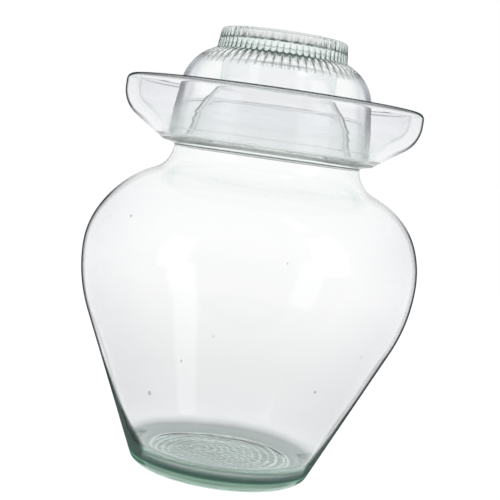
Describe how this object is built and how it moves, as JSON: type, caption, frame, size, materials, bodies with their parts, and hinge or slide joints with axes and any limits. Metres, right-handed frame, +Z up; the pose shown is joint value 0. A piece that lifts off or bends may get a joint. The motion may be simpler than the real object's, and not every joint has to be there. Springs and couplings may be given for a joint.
{
  "type": "fermentation jar",
  "caption": "Clear blown-glass fermentation jar with a water channel round its mouth, which forms an airlock with the loose pressed-glass lid that stands in it.",
  "frame": {"origin": "centre of the foot, on the jar's axis, at the level of the surface that it stands on", "axes": "+Z up along the jar's axis; +Y away from the viewer, +X to the right"},
  "size_m": [0.25, 0.25, 0.3284],
  "materials": {
    "blown_glass": "clear, smooth, faint green in the thick base",
    "pressed_glass": "clear, smooth, faint green where thick"
  },
  "bodies": {
    "jar": {"foot": "blown_glass", "taper": "blown_glass", "belly": "blown_glass", "shoulder": "blown_glass", "channel": "blown_glass", "mouth": "blown_glass"},
    "lid": {"lid": "pressed_glass"}
  },
  "joints": [
    {"name": "lid_lift", "type": "slide", "parent": "jar", "child": "lid", "axis": [0, 0, 1], "range_m": [0, 0.1]}
  ]
}
